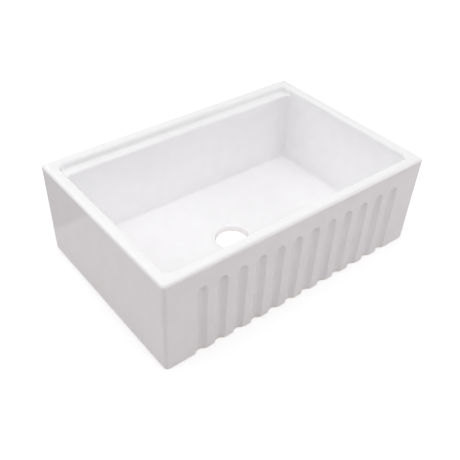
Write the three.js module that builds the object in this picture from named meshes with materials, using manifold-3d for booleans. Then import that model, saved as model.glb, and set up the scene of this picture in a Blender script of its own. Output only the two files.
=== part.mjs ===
// Apron-front kitchen sink: one fired clay casting under a white glaze.
// Millimetres, +Z up, front towards -Y, origin at the middle of the footprint on the standing face.
import * as THREE from 'three';
import { mergeVertices } from 'three/addons/utils/BufferGeometryUtils.js';
import Module from 'manifold-3d';

const wasm = await Module();
wasm.setup();

// ---- outside ----
const width = 762;
const depth = 508;
const height = 250;
const outerDraft = 4; // the sides lean in this much at the base
const outerCornerRadius = 10;
const rimOuterRadius = 9;
const baseEdgeRadius = 5;

// ---- walls at the rim ----
const sideWall = 29;
const frontWall = 28;
const rearWall = 30;
const rimInnerRadius = 8;

// ---- bowl ----
const floorHeight = 31; // floor surface at the foot of the walls
const bowlDraft = 5;
const bowlCornerRadius = 18;
const floorCoveRadius = 6;
const floorFall = 13.5; // from the walls down to the waste

// ---- ledge along the back of the bowl ----
const ledgeDrop = 18;
const ledgeWidth = 23;
const ledgeEdgeRadius = 6;
const ledgeCoveRadius = 5;

// ---- waste outlet ----
const wasteX = 0;
const wasteY = 0;
const wasteBoreRadius = 45;
const wasteBoreTaper = 2.5; // the bore is this much narrower at the standing face
const wasteSeatRadius = 57; // recess that takes the flange
const wasteSeatDepth = 2.5;
const wasteSeatSoftening = 3;
const wasteMouthRadius = 4;
const wasteLowerRadius = 1.6;
const wasteLevelMargin = 3; // level floor around the recess

// ---- flutes of the apron ----
const flutePitch = 52;
const fluteSideMargin = 90; // least distance from the side to the middle of the first flute
const fluteDepth = 8.5;
const fluteHollowRadius = 16.5;
const fluteEdgeRadius = 2.5;
const fluteTopBelowRim = 50;

// ---- underside ----
const footWidth = 45;
const undersideRecess = 5;
const undersideCornerRadius = 12;
const wasteBossRadius = 105;

// ---- glaze ----
const glazeThickness = 1;
const glazeFit = 0.3; // room between the coat and the clay
const footOverlap = 0.4; // shared height of the bare foot and the clay set back above it

// ---- facets ----
const cornerSteps = 6;
const filletSteps = 4;
const hollowSteps = 4;
const softSteps = 2;
const fluteTurnSteps = 16;
const roundSteps = 36;
const floorSteps = 3;
const leastRadius = 0.5;
const weldDistance = 1e-4;
const hairsbreadth = 1e-9; // for comparing lengths and shares
const overrun = 1.5; // how far a cutting body passes the face that it cuts

const halfWidth = width / 2;
const halfDepth = depth / 2;
const straightTop = height - rimOuterRadius; // the leaning sides reach their full size here
const ledgeHeight = height - ledgeDrop;
const bowlRear = halfDepth - rearWall - ledgeWidth;
const pocketRear = halfDepth - rearWall;
const glazeLine = glazeThickness + glazeFit + footOverlap; // the clay is bare below this height

// Points on an arc in a plane, from one angle to another in degrees.
function arcPoints(centreA, centreB, radius, from, to, steps) {
  const points = [];
  for (let step = 0; step <= steps; step += 1) {
    const angle = THREE.MathUtils.degToRad(from + ((to - from) * step) / steps);
    points.push([centreA + radius * Math.cos(angle), centreB + radius * Math.sin(angle)]);
  }
  return points;
}

// The first or last stretch of a path, run on until its second coordinate reaches a level.
function runOn(from, through, level) {
  const share = (level - from[1]) / (through[1] - from[1]);
  return [from[0] + (through[0] - from[0]) * share, level];
}

// Horizontal run of two opposed arcs that meet in one smooth S over a given drop.
function curveRun(drop, radiusA, radiusB) {
  return Math.sqrt((radiusA + radiusB) ** 2 - (radiusA + radiusB - drop) ** 2);
}

// How far the leaning sides have come in at a height.
function sideLean(level) {
  return (outerDraft * (straightTop - level)) / straightTop;
}

// A rounded rectangle seen from above, anticlockwise, with its front and rear corners at their own heights.
function outline({ left, right, front, rear, corner, frontLevel, rearLevel }) {
  const radius = Math.max(corner, leastRadius);
  const corners = [
    [right - radius, rear - radius, 0, rearLevel],
    [left + radius, rear - radius, 90, rearLevel],
    [left + radius, front + radius, 180, frontLevel],
    [right - radius, front + radius, 270, frontLevel],
  ];
  const ring = [];
  for (const [x, y, start, level] of corners) {
    for (const [px, py] of arcPoints(x, y, radius, start, start + 90, cornerSteps)) {
      ring.push([px, py, level]);
    }
  }
  return ring;
}

// Triangles between two rings, taken in step by their angle about the waste.
function stitch(lower, upper, faces) {
  const turn = ([x, y]) => Math.atan2(y - wasteY, x - wasteX);
  const order = (ring) => {
    const first = ring.indexOf(ring.reduce((a, b) => (turn(b) < turn(a) ? b : a)));
    return [...ring.slice(first), ...ring.slice(0, first)];
  };
  const a = order(lower);
  const b = order(upper);
  let i = 0;
  let j = 0;
  const angleAt = (ring, k) => turn(ring[k % ring.length]) + (k >= ring.length ? 2 * Math.PI : 0);
  while (i < a.length || j < b.length) {
    const takeLower = j >= b.length || (i < a.length && angleAt(a, i + 1) <= angleAt(b, j + 1));
    const p = a[i % a.length];
    const q = b[j % b.length];
    if (takeLower) {
      i += 1;
      faces.push([p, a[i % a.length], q]);
    } else {
      j += 1;
      faces.push([p, b[j % b.length], q]);
    }
  }
}

// A closed body through rings from the lowest to the highest, with flat ends.
// Rings with the same points join one to one; the lowest bands can be stitched by angle instead.
function loft(rings, stitchedBands = 0) {
  const faces = [];
  for (let level = 1; level < rings.length; level += 1) {
    const lower = rings[level - 1];
    const upper = rings[level];
    if (level <= stitchedBands) {
      stitch(lower, upper, faces);
      continue;
    }
    for (let k = 0; k < lower.length; k += 1) {
      const next = (k + 1) % lower.length;
      faces.push([lower[k], lower[next], upper[next]]);
      faces.push([lower[k], upper[next], upper[k]]);
    }
  }
  const floor = rings[0];
  const lid = rings[rings.length - 1];
  for (let k = 1; k + 1 < floor.length; k += 1) faces.push([floor[0], floor[k + 1], floor[k]]);
  for (let k = 1; k + 1 < lid.length; k += 1) faces.push([lid[0], lid[k], lid[k + 1]]);
  const geometry = new THREE.BufferGeometry();
  geometry.setAttribute('position', new THREE.Float32BufferAttribute(faces.flat(2), 3));
  return toSolid(geometry);
}

// A surface of triangles as a solid that can be joined and cut.
function toSolid(source) {
  const geometry = source.index ? source.toNonIndexed() : source.clone();
  geometry.deleteAttribute('normal');
  geometry.deleteAttribute('uv');
  const merged = mergeVertices(geometry, weldDistance);
  const corners = merged.index.array;
  const kept = [];
  for (let i = 0; i < corners.length; i += 3) {
    const [a, b, c] = corners.slice(i, i + 3);
    if (a !== b && b !== c && c !== a) kept.push(a, b, c);
  }
  const build = (triangles) =>
    new wasm.Manifold(
      new wasm.Mesh({
        numProp: 3,
        vertProperties: merged.attributes.position.array,
        triVerts: new Uint32Array(triangles),
      }),
    );
  const solid = build(kept);
  return solid.volume() < 0 ? build(kept.toReversed()) : solid;
}

function toGeometry(solid) {
  const mesh = solid.getMesh();
  const geometry = new THREE.BufferGeometry();
  geometry.setAttribute('position', new THREE.Float32BufferAttribute(mesh.vertProperties, 3));
  geometry.setIndex(new THREE.Uint32BufferAttribute(mesh.triVerts, 1));
  const flat = geometry.toNonIndexed();
  flat.computeVertexNormals();
  return flat;
}

// The block without its hollows, its faces moved into the clay by an inset.
function outerBlock(inset) {
  const outlineAt = (inward, level) =>
    outline({
      left: inward - halfWidth,
      right: halfWidth - inward,
      front: inward - halfDepth,
      rear: halfDepth - inward,
      corner: outerCornerRadius - inward + sideLean(Math.min(level, straightTop)),
      frontLevel: level,
      rearLevel: level,
    });
  const baseCentre = sideLean(baseEdgeRadius) + baseEdgeRadius;
  const path = [
    ...arcPoints(baseCentre, baseEdgeRadius, baseEdgeRadius - inset, 270, 180, filletSteps),
    ...arcPoints(rimOuterRadius, straightTop, rimOuterRadius - inset, 180, 90, filletSteps),
  ];
  return loft(path.map(([inward, level]) => outlineAt(inward, level)));
}

// The hollow of the bowl and its ledge, its faces moved into the clay by an inset.
function bowlHollow(inset) {
  const lean = (level) => (bowlDraft * (height - level)) / (height - floorHeight);
  const outlineAt = (inward, level, rear, rearLevel) =>
    outline({
      left: sideWall - halfWidth + inward,
      right: halfWidth - sideWall - inward,
      front: frontWall - halfDepth + inward,
      rear,
      corner: bowlCornerRadius - inward,
      frontLevel: level,
      rearLevel,
    });
  const rings = [];

  // cove from the floor up to the walls
  const coveLevel = floorHeight + floorCoveRadius;
  const coveCentre = lean(coveLevel) + floorCoveRadius;
  const cove = arcPoints(coveCentre, coveLevel, floorCoveRadius + inset, 270, 180, filletSteps);
  for (const [inward, level] of cove) {
    rings.push(outlineAt(inward, level, bowlRear - inward, level));
  }

  // rounded edge, flat and cove of the ledge at the rear, while the other walls run straight up
  const edgeLevel = ledgeHeight - ledgeEdgeRadius;
  const edgeCentre = bowlRear - lean(edgeLevel) + ledgeEdgeRadius;
  const cornerLevel = ledgeHeight + ledgeCoveRadius;
  const cornerCentre = pocketRear - lean(cornerLevel) - ledgeCoveRadius;
  const rearPath = [
    ...arcPoints(edgeCentre, edgeLevel, ledgeEdgeRadius - inset, 180, 90, filletSteps),
    ...arcPoints(cornerCentre, cornerLevel, ledgeCoveRadius + inset, 270, 360, filletSteps),
  ];
  const climb = (cornerLevel - edgeLevel) / (rearPath.length - 1);
  rearPath.forEach(([rear, rearLevel], step) => {
    const level = edgeLevel + climb * step;
    rings.push(outlineAt(lean(level) - inset, level, rear, rearLevel));
  });

  // rounded inner edge of the rim, run on past the rim
  const rimLevel = height - rimInnerRadius;
  const rimCentre = lean(rimLevel) - rimInnerRadius;
  const lip = arcPoints(rimCentre, rimLevel, rimInnerRadius - inset, 0, 90, filletSteps);
  lip.push(runOn(lip[filletSteps - 1], lip[filletSteps], height + overrun));
  lip.splice(filletSteps, 1);
  for (const [inward, level] of lip) {
    rings.push(outlineAt(inward, level, pocketRear - inward, level));
  }

  // floor that falls from the walls to a level disc around the waste
  const edge = rings[0];
  const level = floorHeight - floorFall - inset;
  const discRadius = wasteSeatRadius + wasteLevelMargin;
  for (let step = 1; step <= floorSteps; step += 1) {
    const share = step / floorSteps;
    rings.unshift(floorRing(edge, share, discRadius, level + (1 - share) * floorFall));
  }
  return loft(rings, floorSteps);
}

// One ring of the floor, part of the way from the outline at the walls to the disc at the waste.
function floorRing(edge, share, discRadius, level) {
  const ring = [];
  for (let k = 0; k < roundSteps; k += 1) {
    const angle = (2 * Math.PI * k) / roundSteps;
    const reach = THREE.MathUtils.lerp(reachOf(edge, angle), discRadius, share);
    ring.push([wasteX + reach * Math.cos(angle), wasteY + reach * Math.sin(angle), level]);
  }
  return ring;
}

// Distance from the waste to an outline in one direction.
function reachOf(ring, angle) {
  const dx = Math.cos(angle);
  const dy = Math.sin(angle);
  let reach = 0;
  ring.forEach(([ax, ay], k) => {
    const [bx, by] = ring[(k + 1) % ring.length];
    const spin = dx * (by - ay) - dy * (bx - ax);
    if (Math.abs(spin) < hairsbreadth) return;
    const along = ((ax - wasteX) * (by - ay) - (ay - wasteY) * (bx - ax)) / spin;
    const share = ((ax - wasteX) * dy - (ay - wasteY) * dx) / spin;
    const crossed = share >= -hairsbreadth && share <= 1 + hairsbreadth;
    if (along > 0 && crossed) reach = Math.max(reach, along);
  });
  return reach;
}

// The waste bore with its flange recess, its faces moved into the clay by an inset.
function wasteHollow(inset) {
  const level = floorHeight - floorFall;
  const seatLevel = level - wasteSeatDepth;
  const soft = wasteSeatSoftening;
  const seatRun = curveRun(wasteSeatDepth, soft, soft);
  const seatAngle = THREE.MathUtils.radToDeg(Math.asin(seatRun / (2 * soft)));
  const lowerRadius = wasteBoreRadius - wasteBoreTaper;
  const mouth = [wasteBoreRadius + wasteMouthRadius, seatLevel - wasteMouthRadius];
  const foot = [lowerRadius + wasteLowerRadius, wasteLowerRadius];
  const upper = [
    ...arcPoints(...mouth, wasteMouthRadius - inset, 180, 90, filletSteps),
    ...arcPoints(wasteSeatRadius - seatRun, seatLevel + soft, soft + inset, 270, 270 + seatAngle, softSteps),
    ...arcPoints(wasteSeatRadius, level - soft, soft - inset, 90 + seatAngle, 90, softSteps).slice(1),
  ];
  const last = upper.pop();
  upper.push(runOn(upper[upper.length - 1], last, level + overrun));
  const lower = arcPoints(...foot, wasteLowerRadius - inset, 270, 180, softSteps);
  lower[0] = runOn(lower[1], lower[0], -overrun);
  const path = [[0, -overrun], ...lower, ...upper, [0, level + overrun]];
  const turned = new THREE.LatheGeometry(
    path.map(([x, y]) => new THREE.Vector2(x, y)),
    roundSteps,
  );
  return toSolid(turned.rotateX(Math.PI / 2).translate(wasteX, wasteY, 0));
}

// Half of a flute's section as distance from its middle and height above the apron's face.
function fluteSection(inset) {
  const run = curveRun(fluteDepth, fluteHollowRadius, fluteEdgeRadius);
  const swing = THREE.MathUtils.radToDeg(Math.asin(run / (fluteHollowRadius + fluteEdgeRadius)));
  const hollow = arcPoints(
    0,
    fluteHollowRadius - fluteDepth,
    fluteHollowRadius + inset,
    270,
    270 + swing,
    hollowSteps,
  );
  const edge = arcPoints(run, -fluteEdgeRadius, fluteEdgeRadius - inset, 90 + swing, 90, softSteps).slice(1);
  const last = edge.pop();
  edge.push(runOn(edge[edge.length - 1], last, overrun));
  return [...hollow, ...edge];
}

// One flute in the middle of the apron: a hollow channel that ends in a turned top and leans with the face.
function fluteHollow(inset) {
  const section = fluteSection(inset);
  const run = curveRun(fluteDepth, fluteHollowRadius, fluteEdgeRadius);
  const endHeight = height - fluteTopBelowRim - run;
  const mirrored = section.slice(1).map(([across, rise]) => [-across, rise]);
  const channel = new THREE.Shape(
    [...mirrored.toReversed(), ...section].map(([across, rise]) => new THREE.Vector2(across, -rise)),
  );
  const length = endHeight + 2 * rimOuterRadius;
  const straight = new THREE.ExtrudeGeometry(channel, { depth: length, bevelEnabled: false });
  straight.translate(0, 0, -length);
  const turnedPath = [...section, [0, overrun]].map(([across, rise]) => new THREE.Vector2(across, -rise));
  const turned = new THREE.LatheGeometry(turnedPath, fluteTurnSteps);
  turned.rotateY(Math.PI / 2);
  const solid = toSolid(straight).add(toSolid(turned));
  const placed = toGeometry(solid);
  placed.rotateX(Math.atan(outerDraft / straightTop));
  placed.translate(0, sideLean(endHeight) - halfDepth, endHeight);
  return placed;
}

// The whole sink with every face moved into the clay by an inset.
function sinkBody(inset) {
  let body = outerBlock(inset).subtract(bowlHollow(inset)).subtract(wasteHollow(inset));
  const flute = fluteHollow(inset);
  const spaces = Math.floor((width - 2 * fluteSideMargin) / flutePitch);
  for (let k = 0; k <= spaces; k += 1) {
    const x = (k - spaces / 2) * flutePitch;
    body = body.subtract(toSolid(flute.clone().translate(x, 0, 0)));
  }
  return body;
}

// Everything between two heights, wider than the sink.
function slab(bottom, top) {
  const box = new THREE.BoxGeometry(2 * width, 2 * depth, top - bottom);
  return toSolid(box.translate(0, 0, (bottom + top) / 2));
}

// Shallow hollow under the floor, inside the foot and around the boss of the waste.
function undersideHollow() {
  const inward = outerDraft + footWidth;
  const ringAt = (level) =>
    outline({
      left: inward - halfWidth,
      right: halfWidth - inward,
      front: inward - halfDepth,
      rear: halfDepth - inward,
      corner: undersideCornerRadius,
      frontLevel: level,
      rearLevel: level,
    });
  const bossHeight = 3 * undersideRecess; // reaches past the hollow above and below
  const boss = new THREE.CylinderGeometry(wasteBossRadius, wasteBossRadius, bossHeight, roundSteps);
  boss.rotateX(Math.PI / 2).translate(wasteX, wasteY, 0);
  return loft([ringAt(-undersideRecess), ringAt(undersideRecess)]).subtract(toSolid(boss));
}

// ---- fired clay: set back under the glaze, full size below the glaze line ----
function fireclayBody(finished) {
  const covered = sinkBody(glazeThickness + glazeFit);
  const foot = finished.intersect(slab(-overrun, glazeLine));
  return covered.add(foot).subtract(undersideHollow());
}

// ---- glaze: the skin between the finished surface and the clay ----
function glazeCoat(finished) {
  const skin = finished.subtract(sinkBody(glazeThickness));
  return skin.intersect(slab(glazeLine + glazeFit, height + overrun));
}

const clay = new THREE.MeshStandardMaterial({ color: 0xd9c9ae, roughness: 0.85, metalness: 0 });
const glaze = new THREE.MeshStandardMaterial({ color: 0xf4f3f1, roughness: 0.12, metalness: 0 });

const finished = sinkBody(0);

const body = new THREE.Mesh(toGeometry(fireclayBody(finished)), clay);
body.name = 'fireclay_body';

const coat = new THREE.Mesh(toGeometry(glazeCoat(finished)), glaze);
coat.name = 'glaze_coat';

const sink = new THREE.Group();
sink.add(body, coat);

export default sink;
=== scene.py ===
import math

import bmesh
import bpy
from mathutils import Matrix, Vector


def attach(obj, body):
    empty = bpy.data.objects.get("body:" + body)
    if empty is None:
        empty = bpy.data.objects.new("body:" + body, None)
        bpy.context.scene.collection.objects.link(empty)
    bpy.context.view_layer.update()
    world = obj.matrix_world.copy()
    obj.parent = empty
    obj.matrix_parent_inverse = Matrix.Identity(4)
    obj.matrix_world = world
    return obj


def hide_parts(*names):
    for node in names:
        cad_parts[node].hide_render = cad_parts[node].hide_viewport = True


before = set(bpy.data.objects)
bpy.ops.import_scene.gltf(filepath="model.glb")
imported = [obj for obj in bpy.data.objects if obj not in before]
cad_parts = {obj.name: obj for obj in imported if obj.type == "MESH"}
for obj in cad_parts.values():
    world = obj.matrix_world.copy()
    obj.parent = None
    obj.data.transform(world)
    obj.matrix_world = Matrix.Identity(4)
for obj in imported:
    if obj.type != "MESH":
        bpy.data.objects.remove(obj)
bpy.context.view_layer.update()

mm = 0.001

# outside of the casting, in millimetres
casting = {
    "width": 762, "depth": 508, "height": 250,
    "draft": 4, "cornerRadius": 10, "rimRadius": 9, "baseRadius": 5,
    "cornerSteps": 12, "filletSteps": 9,
    "longCuts": 23, "shortCuts": 15,  # points along the straight sides, for an even floor
}

halfWidth = casting["width"] / 2
halfDepth = casting["depth"] / 2
straightTop = casting["height"] - casting["rimRadius"]  # the leaning sides are full size here

tinyMove = 1e-6  # a shorter move is none, in millimetres
pickSlack = 0.1  # an edge this close to a level counts as on it, in millimetres
wallSides = 8  # only the faces that close an end have more sides than this


def startEdit(piece):
    bpy.ops.object.select_all(action="DESELECT")
    piece.select_set(True)
    bpy.context.view_layer.objects.active = piece
    bpy.ops.object.mode_set(mode="EDIT")
    bpy.ops.mesh.select_all(action="DESELECT")


def endEdit():
    bpy.ops.object.mode_set(mode="OBJECT")
    bpy.ops.object.select_all(action="DESELECT")


def applyModifier(piece, modifier):
    bpy.ops.object.select_all(action="DESELECT")
    piece.select_set(True)
    bpy.context.view_layer.objects.active = piece
    bpy.ops.object.modifier_apply(modifier=modifier.name)


def joinPieces(pieces):
    bpy.ops.object.select_all(action="DESELECT")
    for piece in pieces:
        piece.select_set(True)
    bpy.context.view_layer.objects.active = pieces[0]
    bpy.ops.object.join()
    return bpy.context.object


def pickEdges(piece, test):
    # selects the edges that pass a test of their middle, in millimetres, and of themselves
    bpy.ops.mesh.select_mode(type="EDGE")
    bpy.ops.mesh.select_all(action="DESELECT")
    mesh = bmesh.from_edit_mesh(piece.data)
    for edge in mesh.edges:
        middle = (edge.verts[0].co + edge.verts[1].co) / 2
        if test(middle / mm, edge):
            edge.select_set(True)
    mesh.select_flush_mode()
    bmesh.update_edit_mesh(piece.data)


def isOpen(edge):
    return len(edge.link_faces) == 1


def keepPicked(piece, test):
    # lets go of the picked vertices that fail a test in millimetres
    bpy.ops.mesh.select_mode(type="VERT")
    mesh = bmesh.from_edit_mesh(piece.data)
    for vertex in mesh.verts:
        if vertex.select and not test(vertex.co / mm):
            vertex.select_set(False)
    mesh.select_flush_mode()
    bmesh.update_edit_mesh(piece.data)


def pickCap(piece, side=-1):
    # the many-sided face that closes one end, the lowest or the highest
    mesh = bmesh.from_edit_mesh(piece.data)
    caps = [f for f in mesh.faces if len(f.verts) > wallSides]
    best = max(caps, key=lambda f: f.calc_center_median().z * side)
    bpy.ops.mesh.select_mode(type="FACE")
    bpy.ops.mesh.select_all(action="DESELECT")
    best.select_set(True)
    bmesh.update_edit_mesh(piece.data)


def shift(x=0.0, y=0.0, z=0.0):
    bpy.ops.transform.translate(value=(x * mm, y * mm, z * mm))


def insetCap(piece, by, rise, side=-1):
    # the end face shrinks by a true offset, then moves up or down
    pickCap(piece, side)
    if by > tinyMove:
        bpy.ops.mesh.inset(thickness=by * mm, depth=0, use_even_offset=True)
    else:
        bpy.ops.mesh.extrude_region_move()
    shift(z=rise)


def arcSteps(radius, start, end, steps):
    # moves from point to point along an arc, between two angles in degrees
    turns = [math.radians(start + (end - start) * k / steps) for k in range(steps + 1)]
    stops = [(radius * math.cos(t), radius * math.sin(t)) for t in turns]
    return [(b[0] - a[0], b[1] - a[1]) for a, b in zip(stops, stops[1:])]


def curveRun(drop, first, second):
    # sideways run of two arcs that meet in one smooth S
    return math.sqrt((first + second) ** 2 - (first + second - drop) ** 2)


def roundedPlate(name, left, right, front, rear, radius, level):
    # a plane with rounded corners and points along its sides
    bpy.ops.object.select_all(action="DESELECT")
    bpy.ops.mesh.primitive_plane_add(size=1, location=(0, 0, 0))
    plate = bpy.context.object
    plate.name = plate.data.name = name
    startEdit(plate)
    bpy.ops.mesh.select_all(action="SELECT")
    bpy.ops.transform.resize(
        value=((right - left) * mm, (rear - front) * mm, 1), center_override=(0, 0, 0))
    shift((left + right) / 2, (front + rear) / 2, level)
    bpy.ops.mesh.bevel(
        offset=radius * mm, segments=casting["cornerSteps"], affect="VERTICES", profile=0.5)
    bpy.ops.mesh.delete(type="ONLY_FACE")
    long = 4 * radius * mm  # only the straight sides are longer than this
    pickEdges(plate, lambda c, e: abs(e.verts[0].co.x - e.verts[1].co.x) > long)
    bpy.ops.mesh.subdivide(number_cuts=casting["longCuts"])
    pickEdges(plate, lambda c, e: abs(e.verts[0].co.y - e.verts[1].co.y) > long)
    bpy.ops.mesh.subdivide(number_cuts=casting["shortCuts"])
    bpy.ops.mesh.select_all(action="SELECT")
    bpy.ops.mesh.edge_face_add()
    return plate


def makeSkirt():
    # outside of the casting: leaning sides, rounded base and rounded rim
    skirt = roundedPlate(
        "skirt", -halfWidth, halfWidth, -halfDepth, halfDepth, casting["cornerRadius"], straightTop)
    pickCap(skirt)
    bpy.ops.mesh.extrude_region_move()
    shift(z=casting["baseRadius"] - straightTop)
    lean = casting["draft"] * (straightTop - casting["baseRadius"]) / straightTop
    bpy.ops.transform.resize(
        value=(1 - lean / halfWidth, 1 - lean / halfDepth, 1), center_override=(0, 0, 0))
    for across, rise in arcSteps(casting["baseRadius"], 180, 270, casting["filletSteps"]):
        insetCap(skirt, across, rise)
    for across, rise in arcSteps(casting["rimRadius"], 180, 90, casting["filletSteps"]):
        insetCap(skirt, across, rise, side=1)
    for side in (-1, 1):
        pickCap(skirt, side)
        bpy.ops.mesh.delete(type="ONLY_FACE")
    endEdit()
    return skirt


# bowl with the ledge along its back, in millimetres
bowl = {
    "sideWall": 29, "frontWall": 28, "rearWall": 30, "lipRadius": 8,
    "cornerRadius": 18, "draft": 5, "coveRadius": 6, "floor": 31, "fall": 13.5, "floorRings": 14,
    "ledgeDrop": 18, "ledgeWidth": 23, "ledgeCove": 5, "ledgeCoveSteps": 6,
    "ledgeEdge": 6, "ledgeEdgeSteps": 7, "pickMargin": 1,
    "ledgeStrip": 1,  # narrow strips that keep the ledge flat between its rounds
}


def makeBasin():
    # the hollow, from the lip of the rim down to the foot of its coves
    lip = bowl["lipRadius"]
    level = casting["height"]
    basin = roundedPlate(
        "basin", bowl["sideWall"] - halfWidth - lip, halfWidth - bowl["sideWall"] + lip,
        bowl["frontWall"] - halfDepth - lip, halfDepth - bowl["rearWall"] + lip,
        bowl["cornerRadius"] + lip, level)
    for across, rise in arcSteps(lip, 90, 0, casting["filletSteps"]):
        insetCap(basin, across, rise)
        level += rise
    slope = bowl["draft"] / (casting["height"] - bowl["floor"])
    ledge = casting["height"] - bowl["ledgeDrop"]
    coveTop = ledge + bowl["ledgeCove"]
    edgeFoot = ledge - bowl["ledgeEdge"]
    insetCap(basin, slope * (level - coveTop), coveTop - level)

    # at the back the wall turns into the ledge and over its edge, the others run straight down
    flat = bowl["ledgeWidth"] - bowl["ledgeCove"] - bowl["ledgeEdge"]
    strip = bowl["ledgeStrip"]
    moves = arcSteps(bowl["ledgeCove"], 0, -90, bowl["ledgeCoveSteps"])
    moves += [(-strip, 0), (2 * strip - flat, 0), (-strip, 0)]
    moves += arcSteps(bowl["ledgeEdge"], 90, 180, bowl["ledgeEdgeSteps"])
    fall = (edgeFoot - coveTop) / len(moves)
    rear = halfDepth - bowl["rearWall"] - slope * (casting["height"] - coveTop)
    for back, rise in moves:
        insetCap(basin, 0, fall)
        keepPicked(basin, lambda c: c.y > rear - bowl["cornerRadius"] - bowl["pickMargin"])
        shift(y=back, z=rise - fall)
        rear += back

    # straight wall, then the cove into the floor
    coveLevel = bowl["floor"] + bowl["coveRadius"]
    insetCap(basin, slope * (edgeFoot - coveLevel), coveLevel - edgeFoot)
    for across, rise in arcSteps(bowl["coveRadius"], 180, 270, casting["filletSteps"]):
        insetCap(basin, across, rise)
    pickCap(basin)
    bpy.ops.mesh.delete(type="ONLY_FACE")
    endEdit()
    return basin


# waste outlet in the floor, in millimetres: radii, drops and the steps of each round
waste = {
    "bore": 45, "taper": 2.5, "seat": 57, "seatDepth": 2.5, "seatSoft": 3,
    "mouth": 4, "lower": 1.6, "level": 3, "steps": 6,
}


def makeOutlet():
    # flange recess, rounded mouth and bore of the waste, from a disc at the foot of the floor
    level = bowl["floor"] - bowl["fall"]
    corners = 4 * (casting["cornerSteps"] + 1)
    sides = 2 * (casting["longCuts"] + casting["shortCuts"])
    bpy.ops.mesh.primitive_circle_add(
        vertices=corners + sides, radius=(waste["seat"] + waste["level"]) * mm,
        fill_type="NGON", location=(0, 0, 0))
    outlet = bpy.context.object
    outlet.name = outlet.data.name = "outlet"
    startEdit(outlet)
    bpy.ops.mesh.select_all(action="SELECT")
    shift(z=level)
    soft = waste["seatSoft"]
    run = curveRun(waste["seatDepth"], soft, soft)
    swing = math.degrees(math.asin(run / (2 * soft)))
    flat = waste["seat"] - run - waste["bore"] - waste["mouth"]
    moves = [(waste["level"], 0)]
    moves += arcSteps(soft, 90, 90 - swing, waste["steps"])
    moves += arcSteps(soft, 270 - swing, 270, waste["steps"])
    moves += [(flat, 0)]
    moves += arcSteps(waste["mouth"], 90, 0, waste["steps"])
    for across, rise in moves:
        insetCap(outlet, across, rise)
        level += rise
    insetCap(outlet, waste["taper"], waste["lower"] - level)

    # the lower edge flares out again
    radius = waste["bore"] - waste["taper"]
    for across, rise in arcSteps(waste["lower"], 180, 270, waste["steps"]):
        pickCap(outlet)
        bpy.ops.mesh.extrude_region_move()
        wider = (radius + across) / radius
        bpy.ops.transform.resize(value=(wider, wider, 1), center_override=(0, 0, 0))
        shift(z=rise)
        radius += across
    pickCap(outlet)
    bpy.ops.mesh.delete(type="ONLY_FACE")
    endEdit()
    return outlet


def makeCasting():
    # the three surfaces joined over the rim, across the floor and under the base
    whole = joinPieces([makeSkirt(), makeBasin(), makeOutlet()])
    startEdit(whole)
    pickEdges(whole, lambda c, e: isOpen(e) and c.z > casting["height"] - pickSlack)
    bpy.ops.mesh.fill()
    pickEdges(whole, lambda c, e: isOpen(e) and c.z < pickSlack)
    bpy.ops.mesh.fill()
    pickEdges(whole, lambda c, e: isOpen(e))
    bpy.ops.mesh.bridge_edge_loops(number_cuts=bowl["floorRings"], interpolation="LINEAR")
    bpy.ops.mesh.select_all(action="SELECT")
    bpy.ops.mesh.normals_make_consistent(inside=False)
    endEdit()
    return whole


# soft-edged flutes of the apron, in millimetres
flute = {
    "pitch": 52, "sideMargin": 90, "depth": 8.5, "hollow": 16.5, "edge": 2.5,
    "topBelowRim": 50, "steps": 8, "turnSteps": 28, "mergeGap": 0.001,
    "overrun": 1.5, "lift": 0.02,  # the cutter stands proud, so that no faces share a plane
}


def makeFluteCutter():
    # one flute: half of its section, turned over the top and run down past the base, then repeated
    run = curveRun(flute["depth"], flute["hollow"], flute["edge"])
    swing = math.degrees(math.asin(run / (flute["hollow"] + flute["edge"])))
    end = casting["height"] - flute["topBelowRim"] - run
    moves = arcSteps(flute["hollow"], 90, 90 - swing, flute["steps"])
    moves += arcSteps(flute["edge"], 270 - swing, 270, flute["steps"])
    moves += [(0, -flute["overrun"]), (-run, 0)]
    bpy.ops.object.select_all(action="DESELECT")
    bpy.ops.mesh.primitive_plane_add(size=1, location=(0, 0, 0))
    cutter = bpy.context.object
    cutter.name = cutter.data.name = "flute_cutter"
    startEdit(cutter)
    bpy.ops.mesh.select_mode(type="VERT")
    bpy.ops.mesh.select_all(action="SELECT")
    bpy.ops.mesh.merge(type="CENTER")
    shift(0, flute["depth"] - flute["lift"] - halfDepth, end)
    for across, rise in moves:
        step = (across * mm, rise * mm, 0)
        bpy.ops.mesh.extrude_vertices_move(TRANSFORM_OT_translate={"value": step})
    bpy.ops.mesh.select_all(action="SELECT")
    bpy.ops.mesh.spin(
        steps=flute["turnSteps"], angle=math.pi, center=(0, 0, end * mm), axis=(0, 1, 0))
    bpy.ops.mesh.select_all(action="SELECT")
    bpy.ops.mesh.remove_doubles(threshold=flute["mergeGap"] * mm)
    pickEdges(cutter, lambda c, e: isOpen(e))
    bpy.ops.mesh.extrude_region_move()
    shift(z=-end - 2 * casting["baseRadius"])
    bpy.ops.mesh.edge_face_add()

    # leaned with the apron, then repeated along it
    bpy.ops.mesh.select_all(action="SELECT")
    bpy.ops.transform.rotate(
        value=-math.atan(casting["draft"] / straightTop), orient_axis="X",
        center_override=(0, -halfDepth * mm, straightTop * mm))
    spaces = math.floor((casting["width"] - 2 * flute["sideMargin"]) / flute["pitch"])
    shift(x=-spaces / 2 * flute["pitch"])
    bpy.ops.mesh.normals_make_consistent(inside=False)
    endEdit()
    row = cutter.modifiers.new("row", "ARRAY")
    row.use_relative_offset = False
    row.use_constant_offset = True
    row.constant_offset_displace = (flute["pitch"] * mm, 0, 0)
    row.count = spaces + 1
    applyModifier(cutter, row)
    return cutter


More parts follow.
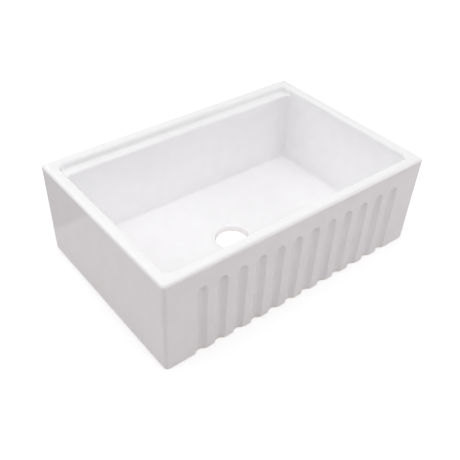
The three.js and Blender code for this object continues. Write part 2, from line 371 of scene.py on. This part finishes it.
def cutFlutes(whole, cutter):
    cut = whole.modifiers.new("flutes", "BOOLEAN")
    cut.operation = "DIFFERENCE"
    cut.solver = "EXACT"
    cut.object = cutter
    applyModifier(whole, cut)
    bpy.data.objects.remove(cutter)


# glaze skin of the sink, in millimetres, degrees for the angle
glazing = {
    "thickness": 1, "line": 1.7, "fit": 0.3,  # the coat starts one fit above its line
    "mergeGap": 0.02, "smoothAngle": 40, "flatWeight": 100,
}


def makeGlaze(whole):
    # the glaze skin: all above the glazing line, given its thickness inwards
    whole.name = whole.data.name = "white_glaze_coat"
    startEdit(whole)
    bpy.ops.mesh.select_all(action="SELECT")
    bpy.ops.mesh.remove_doubles(threshold=glazing["mergeGap"] * mm)
    start = (glazing["line"] + glazing["fit"]) * mm
    bpy.ops.mesh.bisect(plane_co=(0, 0, start), plane_no=(0, 0, 1), clear_inner=True)
    endEdit()
    skin = whole.modifiers.new("skin", "SOLIDIFY")
    skin.thickness = glazing["thickness"] * mm
    skin.offset = -1
    skin.use_even_offset = False
    applyModifier(whole, skin)
    bpy.ops.object.shade_smooth_by_angle(angle=math.radians(glazing["smoothAngle"]))
    flats = whole.modifiers.new("flats", "WEIGHTED_NORMAL")
    flats.weight = glazing["flatWeight"]
    flats.keep_sharp = True
    applyModifier(whole, flats)
    return whole


def hexColour(code):
    # sRGB hex to linear
    parts = [int(code[k:k + 2], 16) / 255 for k in (1, 3, 5)]
    linear = [c / 12.92 if c <= 0.04045 else ((c + 0.055) / 1.055) ** 2.4 for c in parts]
    return (*linear, 1.0)


def scaleFor(size):
    # a texture's scale from the real size of its pattern in millimetres
    return 1 / (size * mm)


def newMaterial(name):
    material = bpy.data.materials.new(name)
    material.use_nodes = True
    material.node_tree.nodes.clear()
    return material


def addNode(tree, kind, settings=None, **links):
    # adds a node, sets its options or sockets, and links other nodes' outputs into it
    node = tree.nodes.new(kind)
    for key, value in (settings or {}).items():
        if isinstance(key, int) or key in node.inputs:
            node.inputs[key].default_value = value
        else:
            setattr(node, key, value)
    for key, source in links.items():
        place = int(key[1:]) if key[0] == "_" and key[1:].isdigit() else key.replace("_", " ")
        tree.links.new(source, node.inputs[place])
    return node


def setStops(ramp, stops):
    # gives both ends of a colour ramp their places and colours
    for element, (place, code) in zip(ramp.color_ramp.elements, stops):
        element.position = place
        element.color = hexColour(code)


def wear(piece, material):
    # one material all over the piece
    piece.data.materials.clear()
    piece.data.materials.append(material)


# sprayed and fired glaze of the sink, sizes in millimetres
glazeLook = {
    "body": "#FDFCFD", "pool": "#FBFAFB", "clayTint": "#F6F2EC", "speck": "#D8D0C2",
    "mottleSize": 38, "mottleDetail": 3, "mottleFrom": 0.35, "mottleTo": 0.6,
    "speckSpacing": 60, "speckWidth": 0.5, "speckCore": 0.5, "speckStrength": 0.3,
    "dripSize": 12, "dripDetail": 2, "thinBand": 3, "thinFade": 2, "thinStrength": 0.8,
    "waveSize": 85, "waveHeight": 0.12,
    "peelSize": 7, "peelDetail": 1, "peelHeight": 0.012,  # drawn coarse enough to show
    "roughnessLow": 0.04, "roughnessHigh": 0.09, "ior": 1.52,
}


def glazeMaterial():
    # vitreous white glaze, sprayed on and fired: a glassy gloss over opaque white, with the faint
    # orange peel and slow waves that bend reflections, a little clay showing where it thins
    look = glazeLook
    material = newMaterial("vitreous white glaze, sprayed and fired")
    tree = material.node_tree
    place = addNode(tree, "ShaderNodeTexCoord").outputs["Object"]
    mottle = addNode(
        tree, "ShaderNodeTexNoise",
        {"Scale": scaleFor(look["mottleSize"]), "Detail": look["mottleDetail"]}, Vector=place)
    colour = addNode(tree, "ShaderNodeValToRGB", None, Fac=mottle.outputs["Fac"])
    setStops(colour, [(look["mottleFrom"], look["pool"]), (look["mottleTo"], look["body"])])

    # a few iron specks under the glaze
    cells = addNode(
        tree, "ShaderNodeTexVoronoi",
        {"Scale": scaleFor(look["speckSpacing"]), "Randomness": 1.0}, Vector=place)
    size = look["speckWidth"] / 2 / look["speckSpacing"]
    dots = addNode(
        tree, "ShaderNodeMapRange",
        {"From Min": size * look["speckCore"], "From Max": size,
         "To Min": look["speckStrength"], "To Max": 0.0},
        Value=cells.outputs["Distance"])
    specked = addNode(
        tree, "ShaderNodeMix", {"data_type": "RGBA", 7: hexColour(look["speck"])},
        _0=dots.outputs["Result"], _6=colour.outputs["Color"])

    # the glaze thins along the foot, with a ragged edge
    height = addNode(tree, "ShaderNodeSeparateXYZ", None, Vector=place)
    drip = addNode(
        tree, "ShaderNodeTexNoise",
        {"Scale": scaleFor(look["dripSize"]), "Detail": look["dripDetail"]}, Vector=place)
    ragged = addNode(
        tree, "ShaderNodeMath", {"operation": "MULTIPLY_ADD", 1: -look["thinBand"] * mm},
        _0=drip.outputs["Fac"], _2=height.outputs["Z"])
    thin = addNode(
        tree, "ShaderNodeMapRange",
        {"From Min": (glazing["line"] - look["thinBand"] / 2) * mm,
         "From Max": (glazing["line"] + look["thinFade"]) * mm,
         "To Min": look["thinStrength"], "To Max": 0.0},
        Value=ragged.outputs["Value"])
    tinted = addNode(
        tree, "ShaderNodeMix", {"data_type": "RGBA", 7: hexColour(look["clayTint"])},
        _0=thin.outputs["Result"], _6=specked.outputs[2])

    # slow waves of the casting, then the orange peel of the spray
    wave = addNode(
        tree, "ShaderNodeTexNoise", {"Scale": scaleFor(look["waveSize"]), "Detail": 0.0},
        Vector=place)
    peel = addNode(
        tree, "ShaderNodeTexNoise",
        {"Scale": scaleFor(look["peelSize"]), "Detail": look["peelDetail"]}, Vector=place)
    slow = addNode(
        tree, "ShaderNodeBump", {"Strength": 1.0, "Distance": look["waveHeight"] * mm},
        Height=wave.outputs["Fac"])
    fine = addNode(
        tree, "ShaderNodeBump", {"Strength": 1.0, "Distance": look["peelHeight"] * mm},
        Height=peel.outputs["Fac"], Normal=slow.outputs["Normal"])
    gloss = addNode(
        tree, "ShaderNodeMapRange",
        {"To Min": look["roughnessLow"], "To Max": look["roughnessHigh"]},
        Value=mottle.outputs["Fac"])
    shader = addNode(
        tree, "ShaderNodeBsdfPrincipled", {"IOR": look["ior"]},
        Base_Color=tinted.outputs[2], Roughness=gloss.outputs["Result"],
        Normal=fine.outputs["Normal"])
    addNode(tree, "ShaderNodeOutputMaterial", None, Surface=shader.outputs["BSDF"])
    return material


# bare clay of the foot and the underside, sizes in millimetres
clayLook = {
    "body": "#EDE8DF", "pale": "#F4F0EA", "grogDark": "#C9BBA6", "grogLight": "#FAF7F1",
    "cloudSize": 60, "cloudDetail": 4, "cloudFrom": 0.35, "cloudTo": 0.65,
    "grogSize": 2.2, "grogCore": 0.22, "grogRim": 0.3, "darkAbove": 0.82, "lightAbove": 0.86,
    "grainSize": 0.9, "grainDetail": 3, "grainHeight": 0.12,  # both drawn coarse enough to show
    "roughness": 0.88, "ior": 1.5,
}


def clayMaterial():
    # fireclay, slip cast and fired bare: chalky buff with coarse grog, pale clouds and no shine
    look = clayLook
    material = newMaterial("bare fireclay, cast and fired")
    tree = material.node_tree
    place = addNode(tree, "ShaderNodeTexCoord").outputs["Object"]
    cloud = addNode(
        tree, "ShaderNodeTexNoise",
        {"Scale": scaleFor(look["cloudSize"]), "Detail": look["cloudDetail"]}, Vector=place)
    base = addNode(tree, "ShaderNodeValToRGB", None, Fac=cloud.outputs["Fac"])
    setStops(base, [(look["cloudFrom"], look["body"]), (look["cloudTo"], look["pale"])])

    # some of the grog grains are dark, some light
    grog = addNode(
        tree, "ShaderNodeTexVoronoi", {"Scale": scaleFor(look["grogSize"]), "Randomness": 1.0},
        Vector=place)
    chosen = addNode(tree, "ShaderNodeSeparateColor", None, Color=grog.outputs["Color"])
    near = addNode(
        tree, "ShaderNodeMapRange",
        {"From Min": look["grogCore"], "From Max": look["grogRim"], "To Min": 1.0, "To Max": 0.0},
        Value=grog.outputs["Distance"])
    coat = base.outputs["Color"]
    for channel, low, code in (("Red", "darkAbove", "grogDark"), ("Green", "lightAbove", "grogLight")):
        some = addNode(
            tree, "ShaderNodeMath", {"operation": "GREATER_THAN", 1: look[low]},
            _0=chosen.outputs[channel])
        spots = addNode(
            tree, "ShaderNodeMath", {"operation": "MULTIPLY"},
            _0=some.outputs["Value"], _1=near.outputs["Result"])
        mixed = addNode(
            tree, "ShaderNodeMix", {"data_type": "RGBA", 7: hexColour(look[code])},
            _0=spots.outputs["Value"], _6=coat)
        coat = mixed.outputs[2]

    grain = addNode(
        tree, "ShaderNodeTexNoise",
        {"Scale": scaleFor(look["grainSize"]), "Detail": look["grainDetail"]}, Vector=place)
    rough = addNode(
        tree, "ShaderNodeBump", {"Strength": 1.0, "Distance": look["grainHeight"] * mm},
        Height=grain.outputs["Fac"])
    shader = addNode(
        tree, "ShaderNodeBsdfPrincipled", {"Roughness": look["roughness"], "IOR": look["ior"]},
        Base_Color=coat, Normal=rough.outputs["Normal"])
    addNode(tree, "ShaderNodeOutputMaterial", None, Surface=shader.outputs["BSDF"])
    return material


whole = makeCasting()
print("casting made", len(whole.data.vertices), len(whole.data.polygons))
cutter = makeFluteCutter()
print("flutes made", len(cutter.data.vertices), "points")
cutFlutes(whole, cutter)
print("flutes cut", len(whole.data.vertices), len(whole.data.polygons))
glaze = makeGlaze(whole)
wear(glaze, glazeMaterial())
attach(glaze, "root")
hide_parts("glaze_coat")
wear(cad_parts["fireclay_body"], clayMaterial())
print("glaze coat made", len(glaze.data.polygons))

# the studio, in metres: a floor and sky that are white to the camera, and eight soft boxes
studio = {
    "floorSize": 30, "paper": "#E6E6E6", "bounce": "#E6DEDF",  # as seen, and as it lights the sink
    "liftNear": 0.35, "liftFar": 1.0, "liftStart": 0.45, "liftEnd": 1.3,
    # what the glaze mirrors: a strip of paper, the floor beyond it and the low sky
    "paperFront": -0.44, "paperRear": 0.31, "paperFade": 0.006,
    "paperInGloss": 0.58, "aroundInGloss": 0.32, "horizonLow": 0.1, "horizonHigh": 0.3,
    # azimuth, height angle, watts and width
    "softboxes": {
        "above": (-90, 89, 11, 2.8), "front": (-90, 60, 26.5, 2.8), "corner": (-150, 60, 26, 2.8),
        "left": (152, 36, 18.5, 2.8), "behind": (110, 36, 23.5, 2.8), "wide": (50, 36, 34.5, 5.0),
        "right": (-28, 36, 11.5, 2.8), "low": (-28, 15, 23, 2.8)},
    "softboxAway": 3.0,
    # solved from the edges of the sink in the photograph
    "cameraPlace": (-0.85322, -1.00199, 1.11732), "cameraTurn": (50.3994, -1.6121, -37.7920),
    "lens": 51.7235, "sensor": 36, "shiftX": 0.0192, "shiftY": 0.0043,
}


def makeFloor():
    bpy.ops.object.select_all(action="DESELECT")
    bpy.ops.mesh.primitive_plane_add(size=studio["floorSize"], location=(0, 0, 0))
    floor = bpy.context.object
    floor.name = floor.data.name = "studio_floor"
    material = newMaterial("white paper floor")
    tree = material.node_tree
    place = addNode(tree, "ShaderNodeTexCoord").outputs["Object"]
    path = addNode(tree, "ShaderNodeLightPath")
    matt = addNode(tree, "ShaderNodeBsdfDiffuse", {"Color": hexColour(studio["paper"])})
    warm = addNode(tree, "ShaderNodeBsdfDiffuse", {"Color": hexColour(studio["bounce"])})

    # the camera sees the paper brighter than it is lit, and far from the sink fully white
    away = addNode(tree, "ShaderNodeVectorMath", {"operation": "LENGTH"}, Vector=place)
    glow = addNode(
        tree, "ShaderNodeMapRange",
        {"From Min": studio["liftStart"], "From Max": studio["liftEnd"],
         "To Min": studio["liftNear"], "To Max": studio["liftFar"]},
        Value=away.outputs["Value"])
    lift = addNode(tree, "ShaderNodeEmission", None, Strength=glow.outputs["Result"])
    shown = addNode(tree, "ShaderNodeAddShader", None, _0=matt.outputs[0], _1=lift.outputs[0])

    # the glaze mirrors a bright strip of paper and a dimmer floor before and behind it
    across = addNode(tree, "ShaderNodeSeparateXYZ", None, Vector=place)
    fade = studio["paperFade"]
    front = addNode(
        tree, "ShaderNodeMapRange",
        {"From Min": studio["paperFront"] - fade, "From Max": studio["paperFront"] + fade},
        Value=across.outputs["Y"])
    rear = addNode(
        tree, "ShaderNodeMapRange",
        {"From Min": studio["paperRear"] + fade, "From Max": studio["paperRear"] - fade},
        Value=across.outputs["Y"])
    onPaper = addNode(
        tree, "ShaderNodeMath", {"operation": "MULTIPLY"},
        _0=front.outputs["Result"], _1=rear.outputs["Result"])
    bright = addNode(
        tree, "ShaderNodeMapRange",
        {"To Min": studio["aroundInGloss"], "To Max": studio["paperInGloss"]},
        Value=onPaper.outputs["Value"])
    mirrored = addNode(tree, "ShaderNodeEmission", None, Strength=bright.outputs["Result"])
    seen = addNode(
        tree, "ShaderNodeMixShader", None,
        _0=path.outputs["Is Camera Ray"], _1=warm.outputs[0], _2=shown.outputs[0])
    surface = addNode(
        tree, "ShaderNodeMixShader", None,
        _0=path.outputs["Is Glossy Ray"], _1=seen.outputs[0], _2=mirrored.outputs[0])
    addNode(tree, "ShaderNodeOutputMaterial", None, Surface=surface.outputs[0])
    wear(floor, material)


def makeSky():
    world = bpy.data.worlds.new("studio")
    bpy.context.scene.world = world
    world.use_nodes = True
    tree = world.node_tree
    tree.nodes.clear()
    path = addNode(tree, "ShaderNodeLightPath")
    dark = addNode(tree, "ShaderNodeBackground", {"Strength": 0.0})
    white = addNode(tree, "ShaderNodeBackground", {"Color": (1, 1, 1, 1), "Strength": 1.0})

    # rays that mirror the room find it pale just above the horizon, so no far edge turns dark
    direction = addNode(tree, "ShaderNodeTexCoord").outputs["Generated"]
    rise = addNode(tree, "ShaderNodeSeparateXYZ", None, Vector=direction)
    low = addNode(
        tree, "ShaderNodeMapRange",
        {"From Min": studio["horizonLow"], "From Max": studio["horizonHigh"],
         "To Min": studio["paperInGloss"], "To Max": 0.0},
        Value=rise.outputs["Z"])
    pale = addNode(
        tree, "ShaderNodeBackground", {"Color": (1, 1, 1, 1)}, Strength=low.outputs["Result"])
    around = addNode(
        tree, "ShaderNodeMixShader", None,
        _0=path.outputs["Is Glossy Ray"], _1=dark.outputs[0], _2=pale.outputs[0])
    both = addNode(
        tree, "ShaderNodeMixShader", None,
        _0=path.outputs["Is Camera Ray"], _1=around.outputs[0], _2=white.outputs[0])
    addNode(tree, "ShaderNodeOutputWorld", None, Surface=both.outputs[0])


def makeLights():
    for name, (azimuth, height, watts, width) in studio["softboxes"].items():
        lamp = bpy.data.lights.new("softbox_" + name, "AREA")
        lamp.shape = "SQUARE"
        lamp.size = width
        lamp.energy = watts
        softbox = bpy.data.objects.new("softbox_" + name, lamp)
        turn = math.radians(azimuth)
        rise = math.radians(height)
        level = math.cos(rise)
        aim = Vector((level * math.cos(turn), level * math.sin(turn), math.sin(rise)))
        softbox.location = aim * studio["softboxAway"]
        softbox.rotation_euler = aim.to_track_quat("Z", "Y").to_euler()
        bpy.context.scene.collection.objects.link(softbox)


def makeCamera():
    data = bpy.data.cameras.new("camera")
    data.lens = studio["lens"]
    data.sensor_width = studio["sensor"]
    data.shift_x = studio["shiftX"]
    data.shift_y = studio["shiftY"]
    camera = bpy.data.objects.new("camera", data)
    camera.location = studio["cameraPlace"]
    camera.rotation_euler = [math.radians(a) for a in studio["cameraTurn"]]
    bpy.context.scene.collection.objects.link(camera)
    bpy.context.scene.camera = camera


makeFloor()
makeSky()
makeLights()
makeCamera()
bpy.context.scene.view_settings.view_transform = "Standard"
print("studio set")
